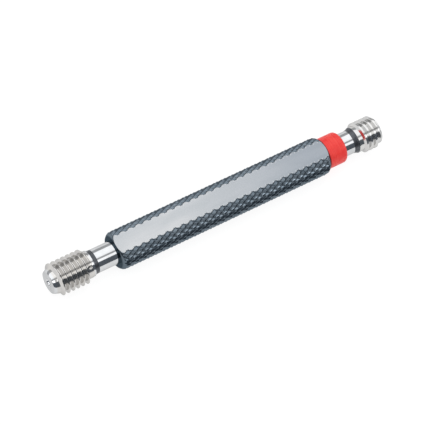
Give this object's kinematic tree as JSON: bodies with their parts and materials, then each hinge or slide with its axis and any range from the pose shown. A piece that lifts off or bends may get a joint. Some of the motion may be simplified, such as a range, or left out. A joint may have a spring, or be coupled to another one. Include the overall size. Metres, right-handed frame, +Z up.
{
  "type": "thread plug gauge",
  "caption": "Double-ended thread plug gauge: knurled handle with flats, GO thread at one end and truncated NO-GO thread with a red marker ring at the other.",
  "frame": {"origin": "bottom centre of the gauge's box: on the surface it lies on, at half its length", "axes": "+X along the gauge's axis from the GO end to the NO-GO end; +Z up, square to the handle's two flats"},
  "size_m": [0.0882, 0.0092, 0.008],
  "materials": {
    "handle_steel": "blackened steel bar, diamond knurled, with two bright milled flats in satin grey",
    "go_steel": "hardened tool steel, ground thread flanks and polished neck",
    "no_go_steel": "hardened tool steel, ground thread with bright flat crests and polished neck",
    "red_ring": "red moulded plastic with a soft sheen"
  },
  "bodies": {
    "root": {"handle": "handle_steel", "go_member": "go_steel", "no_go_member": "no_go_steel", "no_go_ring": "red_ring"}
  },
  "joints": []
}
